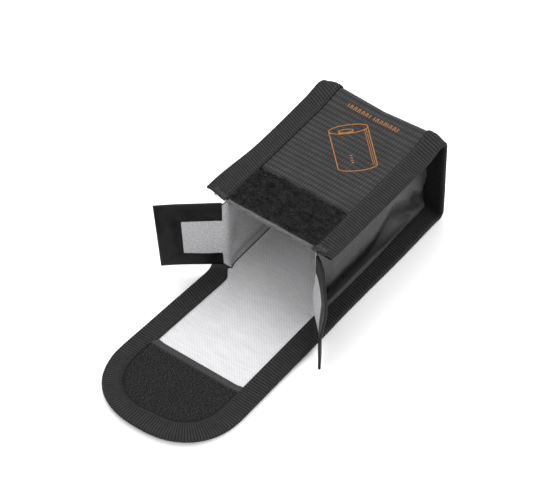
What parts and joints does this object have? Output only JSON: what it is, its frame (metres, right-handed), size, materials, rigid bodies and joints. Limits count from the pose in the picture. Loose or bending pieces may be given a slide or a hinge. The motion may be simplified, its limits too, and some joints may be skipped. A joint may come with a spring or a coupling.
{
  "type": "lipo safe bag",
  "caption": "Small fire-resistant battery pouch: bound rectangular bag with gussets, side tabs and a long flap that closes with hook and loop.",
  "frame": {"origin": "centre of the back panel's underside, on the plane that the bag lies on", "axes": "+X across the bag, +Y from the mouth to the closed end, +Z from the back panel to the front panel"},
  "size_m": [0.0935, 0.1782, 0.0476],
  "materials": {
    "coated_shell_cloth": "dark grey coated glass-fibre weave with a faint sheen",
    "white_lining": "matte white glass-fibre weave",
    "coated_gusset_cloth": "smooth black coating, semi-gloss, creased",
    "binding_tape": "matte black ribbed grosgrain tape",
    "loop_pile": "matte black fuzzy loop pile",
    "hook_tape": "charcoal hook tape with a fine mottled texture",
    "mouth_hem_cloth": "thin grey folded hem",
    "sewing_thread": "matte black thread"
  },
  "bodies": {
    "bag": {"front_panel_shell": "coated_shell_cloth", "front_panel_lining": "white_lining", "end_panel_shell": "coated_shell_cloth", "end_panel_lining": "white_lining", "back_panel_shell": "coated_shell_cloth", "back_panel_lining": "white_lining", "left_gusset_shell": "coated_gusset_cloth", "left_gusset_lining": "white_lining", "right_gusset_shell": "coated_gusset_cloth", "right_gusset_lining": "white_lining", "mouth_hem": "mouth_hem_cloth", "loop_strip": "loop_pile", "left_bar_tack": "sewing_thread", "right_bar_tack": "sewing_thread", "left_binding_front": "binding_tape", "right_binding_front": "binding_tape", "left_binding_end": "binding_tape", "right_binding_end": "binding_tape", "left_binding_back": "binding_tape", "right_binding_back": "binding_tape"},
    "flap_cover": {"flap_cover_shell": "coated_shell_cloth", "flap_cover_lining": "white_lining", "left_binding_flap_cover": "binding_tape", "right_binding_flap_cover": "binding_tape"},
    "flap_tongue": {"flap_tongue_shell": "coated_shell_cloth", "flap_tongue_lining": "white_lining", "hook_patch": "hook_tape", "flap_tongue_binding": "binding_tape"},
    "left_tab": {"left_tab_shell": "coated_gusset_cloth", "left_tab_lining": "white_lining", "left_tab_binding": "binding_tape"},
    "right_tab": {"right_tab_shell": "coated_gusset_cloth", "right_tab_lining": "white_lining", "right_tab_binding": "binding_tape"}
  },
  "joints": [
    {"name": "flap_lift", "type": "hinge", "parent": "bag", "child": "flap_cover", "pos_m": [0, -0.0442, 0.0022], "axis": [-1, 0, 0], "range_deg": [0, 90]},
    {"name": "flap_fold", "type": "hinge", "parent": "flap_cover", "child": "flap_tongue", "pos_m": [0, -0.0908, 0.0022], "axis": [-1, 0, 0], "range_deg": [0, 90]},
    {"name": "left_tab_swing", "type": "hinge", "parent": "bag", "child": "left_tab", "pos_m": [-0.0254, -0.0423, 0.024], "axis": [0, 0, 1], "range_deg": [-128, 135]},
    {"name": "right_tab_swing", "type": "hinge", "parent": "bag", "child": "right_tab", "pos_m": [0.0254, -0.0423, 0.024], "axis": [0, 0, -1], "range_deg": [-128, 130]}
  ],
  "couplings": [
    {"joint": "left_tab_swing", "follows": "flap_lift", "ratio": -1.2},
    {"joint": "right_tab_swing", "follows": "flap_lift", "ratio": -1.2}
  ]
}
